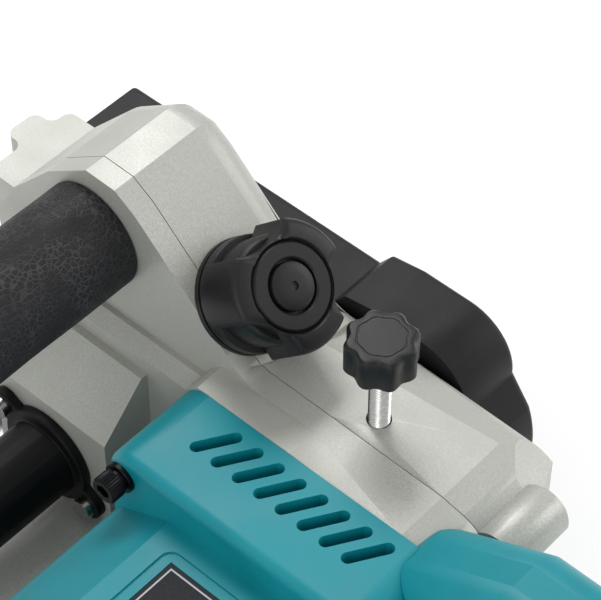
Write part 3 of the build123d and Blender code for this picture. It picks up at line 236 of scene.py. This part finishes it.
def foam_skin():
    """Closed foam with pebbled skin: rings of fine light creases round small cells."""
    made = material("foam_skin", roughness=0.62, Specular_IOR_Level=0.3)
    cells = texture(made, "TexVoronoi", {"Scale": 480.0}, feature="DISTANCE_TO_EDGE")
    fine = texture(made, "TexNoise", {"Scale": 2600.0, "Detail": 3.0})
    patches = texture(made, "TexNoise", {"Scale": 60.0, "Detail": 2.0})
    creases = ramp(made, cells.outputs["Distance"], 0.02, 0.16)
    base = mix_colours(made, creases, srgb(60, 60, 62), srgb(24, 24, 26))
    set_shader(made, "Base Color", mix_colours(made, ramp(made, patches.outputs["Fac"], 0.3, 0.7), base,
                                               srgb(32, 32, 34)))
    uneven_roughness(made, patches.outputs["Fac"], 0.5, 0.75)
    bump(made, (creases, 0.00022), (fine.outputs["Fac"], 0.00006))
    return made


def belt_rubber():
    made = material("belt_rubber", roughness=0.7)
    weave = texture(made, "TexWave", {"Scale": 160.0, "Distortion": 0.5, "Detail": 1.0}, bands_direction="Y")
    mottle(made, weave.outputs["Fac"], srgb(24, 24, 24), srgb(44, 44, 44))
    bump(made, (weave.outputs["Fac"], 0.0002))
    return made


def wound_copper():
    made = material("wound_copper", roughness=0.35, metallic=1.0)
    wires = texture(made, "TexWave", {"Scale": 380.0, "Distortion": 2.0, "Detail": 2.0},
                    bands_direction="DIAGONAL")
    mottle(made, wires.outputs["Fac"], srgb(122, 60, 32), srgb(196, 112, 70))
    bump(made, (wires.outputs["Fac"], 0.0002))
    return made


def label_print(box):
    """Dark rating plate with a thin light line round its edge and nothing printed on it."""
    made = material("label_print", roughness=0.6, Specular_IOR_Level=0.2)
    centre = (box[0] + box[1]) / 2
    half = (box[1] - box[0]) / 2
    point = add_node(made, "SeparateXYZ", {"Vector": object_point(made)})

    def from_edge(axis, index, inset):
        """1 within this inset of the plate's half size on one axis, 0 outside."""
        away = add_node(made, "Math", {0: point.outputs[axis], 1: centre[index]}, operation="SUBTRACT")
        size = add_node(made, "Math", {0: away.outputs[0]}, operation="ABSOLUTE")
        inside = add_node(made, "Math", {0: size.outputs[0], 1: half[index] - inset}, operation="LESS_THAN")
        return inside.outputs[0]

    def both(first, second, operation="MULTIPLY"):
        return add_node(made, "Math", {0: first, 1: second}, operation=operation).outputs[0]

    outer = both(from_edge("X", 0, 1.4 * MM), from_edge("Y", 1, 1.4 * MM))
    inner = both(from_edge("X", 0, 2.0 * MM), from_edge("Y", 1, 2.0 * MM))
    line = both(outer, inner, "SUBTRACT")
    speckle = texture(made, "TexNoise", {"Scale": 900.0, "Detail": 2.0})
    spots = ramp(made, speckle.outputs["Fac"], 0.3, 0.7)
    ground = mix_colours(made, spots, srgb(34, 34, 38), srgb(42, 42, 46))
    printed = mix_colours(made, line, ground, srgb(186, 188, 190))
    set_shader(made, "Base Color", printed)
    bump(made, (speckle.outputs["Fac"], 0.00002))
    return made


build_materials = {
    "cast_silver": silver_paint(),
    "machined_sole": machined_metal("machined_sole", (205, 207, 208), 0.32, (0.04, 1.0, 1.0), 1400.0),
    "teal_plastic": moulded_plastic("teal_plastic", (3, 130, 142), (8, 138, 150), 0.45, 2400.0, 0.00004,
                                     Specular_IOR_Level=0.35),
    "black_plastic": moulded_plastic("black_plastic", (22, 22, 24), (28, 28, 30), 0.5, 1500.0, 0.0001,
                                     Specular_IOR_Level=0.25),
    "knob_plastic": moulded_plastic("knob_plastic", (20, 20, 21), (26, 25, 27), 0.4, 2200.0, 0.00005,
                                     Specular_IOR_Level=0.3),
    "foam": foam_skin(),
    "bright_steel": machined_metal("bright_steel", (206, 206, 203), 0.24, (1.0, 1.0, 4.0), 900.0),
    "black_steel": machined_metal("black_steel", (38, 38, 40), 0.38, (1.0, 1.0, 1.0), 1200.0),
    "dark_steel": machined_metal("dark_steel", (118, 118, 122), 0.34, (1.0, 0.1, 1.0), 900.0),
    "alloy": machined_metal("alloy", (190, 192, 196), 0.3, (1.0, 0.2, 1.0), 1100.0),
    "brass": machined_metal("brass", (200, 160, 84), 0.28, (1.0, 1.0, 0.3), 1000.0),
    "copper": wound_copper(),
    "carbon": moulded_plastic("carbon", (30, 30, 31), (44, 44, 45), 0.7, 1800.0, 0.0001),
    "belt_rubber": belt_rubber(),
    "label": label_print(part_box("label_plate")),
}
gloss_black = moulded_plastic("gloss_black", (6, 6, 7), (11, 11, 12), 0.5, 900.0, 0.00002,
                              Specular_IOR_Level=0.2)


# ---------------------------------------------------------------- CAD nodes that stay
def soften_edges(piece, width, angle=30):
    """Small rounds on the sharp edges of a CAD node."""
    weld = piece.modifiers.new("weld", "WELD")
    weld.merge_threshold = 0.00001
    rounds = piece.modifiers.new("rounds", "BEVEL")
    rounds.width = width
    rounds.segments = 2
    rounds.limit_method = "ANGLE"
    rounds.angle_limit = radians(angle)
    rounds.harden_normals = True
    rounds.use_clamp_overlap = True


def dress_nodes():
    """Every CAD node gets the material of its slot, and the large mouldings and castings get soft edges."""
    for part in frame["record"]["subparts"]:
        piece = nodes[part["node"]]
        piece.data.materials.clear()
        piece.data.materials.append(build_materials[part["material_slot"]])
    nodes["chip_nozzle"].data.materials[0] = gloss_black
    for name in ("housing_left", "housing_right"):
        soften_edges(nodes[name], 0.7 * MM)
    for name in ("motor_housing", "handle_left", "handle_right", "motor_end_cap", "belt_cover",
                 "chip_nozzle"):
        soften_edges(nodes[name], 0.6 * MM)
    for name in ("main_frame", "front_shoe", "rear_sole", "grip_end_cap", "trigger", "lock_button"):
        soften_edges(nodes[name], 0.4 * MM)


# ---------------------------------------------------------------- new pieces in mesh code
joint_at = {joint["name"]: joint for joint in frame["record"]["behaviour"]["joints"]}
KNOB_SEAT = Vector(joint_at["depth_knob_turn"]["pos_m"])
UP_SLOPE = -Vector(joint_at["depth_knob_turn"]["axis"]).normalized()
STUD_FOOT = Vector(joint_at["lock_knob_turn"]["pos_m"]) * Vector((1, 1, 0))
SIDEWAYS, UPRIGHT, LENGTHWAYS = Vector((0, 1, 0)), Vector((0, 0, 1)), Vector((1, 0, 0))

# Sizes in millimetres.
ARM_R, CORE_R = 23, 15.9                 # reach of the depth knob's arms, and its core between them
HOLLOW_AT, HOLLOW_R = 37.8, 22.0         # circle that makes the hollow between two arms
SCALLOPS, SCALLOP_DEPTH = 8, 0.8
THREAD_PITCH, THREAD_DEPTH, THREAD_STEP = 1.25, 0.62, 0.125
STUD_R, PIN_R, PIN_L = 3.85, 2.45, 5     # the stud, and the plain pin at its foot
HEAD_H, BOLT_CORNER = 9, 6               # height of a bolt head, and a bolt's distance from its node's sides
KNURLS, KNURL_DEPTH = 36, 0.16


def turned(made, centre, axis, start, profile, outline=None, steps=96, closed=False):
    """Skins rings along an axis from (radius, height) pairs in millimetres.

    start is the direction of angle 0; outline(angle, radius, height) may change the radius round a ring.
    A closed profile comes back to its first ring, and any other is capped at both ends.
    """
    across = axis.cross(start)
    rings = []
    for radius, height in profile:
        ring = []
        for k in range(steps):
            angle = tau * k / steps
            reach = (outline(angle, radius, height) if outline else radius) * MM
            ring.append(made.verts.new(centre + axis * (height * MM) + start * (reach * cos(angle))
                                       + across * (reach * sin(angle))))
        rings.append(ring)
    for first, second in list(zip(rings, rings[1:])) + ([(rings[-1], rings[0])] if closed else []):
        for k in range(steps):
            made.faces.new((first[k], first[k - 1], second[k - 1], second[k]))
    if not closed:
        made.faces.new(rings[0])
        made.faces.new(rings[-1])


def new_piece(name, body, slot, build, crease=32):
    """Makes a mesh piece that rides on a body and stands for the CAD node of the same name."""
    mesh = bpy.data.meshes.new(name)
    made = bmesh.new()
    build(made)
    bmesh.ops.recalc_face_normals(made, faces=made.faces)
    for face in made.faces:
        face.smooth = True
    for edge in made.edges:
        edge.smooth = edge.calc_face_angle(0) < radians(crease)
    made.to_mesh(mesh)
    made.free()
    piece = bpy.data.objects.new("piece_" + name, mesh)
    bpy.context.scene.collection.objects.link(piece)
    mesh.materials.append(build_materials[slot])
    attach(piece, body)
    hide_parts(name)
    return piece


def knob_arms(angle, radius, height):
    """Three arms of the depth knob with a round hollow between each pair, blended into its round core."""
    away = (angle - radians(90) + tau / 6) % (tau / 3) - tau / 6
    offset = HOLLOW_AT * sin(away)
    if abs(offset) >= HOLLOW_R or radius < CORE_R:
        return radius
    hollow = HOLLOW_AT * cos(away) - (HOLLOW_R ** 2 - offset ** 2) ** 0.5
    return max(min(radius, hollow + radius - ARM_R), CORE_R)


def build_depth_knob(made):
    turned(made, KNOB_SEAT, UP_SLOPE, SIDEWAYS,
           [(5.2, 2.8), (19.6, 2.8), (20.4, 3.5), (20.4, 7.6), (20.0, 8.2), (18.4, 8.6), (18.6, 9.6),
            (18.9, 21.0), (18.5, 22.4), (17.4, 23.4), (5.2, 23.8)], closed=True)
    turned(made, KNOB_SEAT, UP_SLOPE, SIDEWAYS,
           [(5.2, 8.8), (22.2, 8.8), (22.9, 9.6), (22.9, 27.6), (22.5, 28.6), (21.7, 29.5), (20.4, 29.9),
            (16.4, 29.9), (15.9, 29.4), (15.4, 28.6), (14.9, 29.4), (14.4, 29.9), (10.0, 29.9), (9.4, 29.4),
            (9.4, 27.0), (5.2, 27.0)], knob_arms, steps=192, closed=True)


def build_knob_cap(made):
    turned(made, KNOB_SEAT, UP_SLOPE, SIDEWAYS,
           [(8.4, 27.1), (8.4, 29.3), (8.1, 29.9), (7.0, 30.3), (4.5, 30.55), (1.6, 30.6),
            (1.5, 29.9), (0.4, 29.8)])


def star(angle, radius, height):
    """Eight soft scallops round the lock knob."""
    outward = min(1.0, max(0.0, (radius - 7) / 5))
    return radius - SCALLOP_DEPTH * (1 - cos(SCALLOPS * (angle - radians(11)))) * outward


def build_lock_knob(made):
    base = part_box("lock_knob")[0].z / MM
    rise = [(3.95, 0.0), (7.0, 0.0), (7.0, 1.5), (10.6, 1.5), (12.2, 1.9), (12.75, 2.8), (12.8, 13.4),
            (12.4, 14.6), (11.6, 15.3), (10.2, 15.5), (8.9, 15.45), (8.7, 15.2), (8.3, 15.2), (8.1, 15.45),
            (3.95, 15.5)]
    profile = [(radius, base + height) for radius, height in rise]
    turned(made, STUD_FOOT, UPRIGHT, LENGTHWAYS, profile, star, steps=192)


def build_stud(made):
    """Stud with a helical thread above the plain pin at its foot."""
    low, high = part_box("lock_stud")[0].z / MM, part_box("lock_stud")[1].z / MM
    count = int((high - low) / THREAD_STEP) - 1
    heights = [low + THREAD_STEP + THREAD_STEP * k for k in range(count)]

    def thread(angle, radius, height):
        if height <= low + PIN_L:
            return PIN_R
        phase = (height / THREAD_PITCH - angle / tau) % 1.0
        return radius - THREAD_DEPTH * min(1.0, 2.4 * abs(phase - 0.5))

    turned(made, STUD_FOOT, UPRIGHT, LENGTHWAYS, [(STUD_R, height) for height in heights], thread, steps=48)


def build_foam(made):
    """Sleeve of the bar grip, softly swollen and rounded at its outer end."""
    low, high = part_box("grip_foam")
    centre = (low + high) / 2
    reach, start, end = (high.x - low.x) / 2 / MM, low.y / MM, high.y / MM
    profile = [(11.2, start), (reach - 3.0, start), (reach - 1.0, start + 0.8), (reach - 0.25, start + 2.4)]
    count = 60
    for k in range(count + 1):
        along = k / count
        swell = 0.12 * sin(7 * along) + 0.08 * sin(17 * along + 1.0)
        profile.append((reach - 0.22 + swell, start + 4 + (end - start - 5.5) * along))
    profile += [(reach - 0.6, end - 0.5), (reach - 1.4, end), (11.2, end)]

    def uneven(angle, radius, height):
        return radius if radius < 12 else radius - 0.1 + 0.09 * sin(3 * angle + 0.05 * height)

    middle = Vector((centre.x, 0, centre.z))
    turned(made, middle, SIDEWAYS, LENGTHWAYS, profile, uneven, steps=128, closed=True)


def hex_socket(angle, radius, height):
    """Six flats for rings of under 3 mm radius, which are the socket and shank, and knurls on the widest."""
    if radius < 3:
        return radius / cos((angle + tau / 12) % (tau / 6) - tau / 12)
    return radius - (KNURL_DEPTH * (1 + cos(KNURLS * angle)) if 5.1 < radius < 5.19 else 0)


def build_bolts(made):
    """Four socket head screws with knurled heads, spring washers and plain washers."""
    low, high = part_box("motor_bolts")
    face = low.y / MM + HEAD_H
    for x in (low.x + BOLT_CORNER * MM, high.x - BOLT_CORNER * MM):
        for z in (low.z + BOLT_CORNER * MM, high.z - BOLT_CORNER * MM):
            centre = Vector((x, 0, z))
            turned(made, centre, SIDEWAYS, LENGTHWAYS,
                   [(2.4, face - 5.2), (2.4, face - 8.7), (2.7, face - 9.0), (4.6, face - 9.0),
                    (5.15, face - 8.4), (5.15, face - 3.8), (4.9, face - 3.3), (2.5, face - 3.3),
                    (2.5, high.y / MM - 0.1)],
                   hex_socket, steps=144)
            turned(made, centre, SIDEWAYS, LENGTHWAYS,
                   [(2.6, face - 3.25), (4.5, face - 3.25), (4.5, face - 1.85), (2.6, face - 1.85)],
                   closed=True)
            turned(made, centre, SIDEWAYS, LENGTHWAYS,
                   [(2.6, face - 1.8), (5.8, face - 1.8), (5.95, face - 1.6), (5.95, face - 0.02),
                    (2.6, face - 0.02)], closed=True)


def build_pieces():
    new_piece("depth_knob", "depth_knob_body", "knob_plastic", build_depth_knob)
    new_piece("depth_knob_cap", "depth_knob_body", "knob_plastic", build_knob_cap)
    new_piece("lock_knob", "lock", "knob_plastic", build_lock_knob)
    new_piece("lock_stud", "lock", "bright_steel", build_stud, crease=20)
    new_piece("grip_foam", "frame", "foam", build_foam)
    new_piece("motor_bolts", "frame", "black_steel", build_bolts)


place_camera()
build_stage()
dress_nodes()
build_pieces()
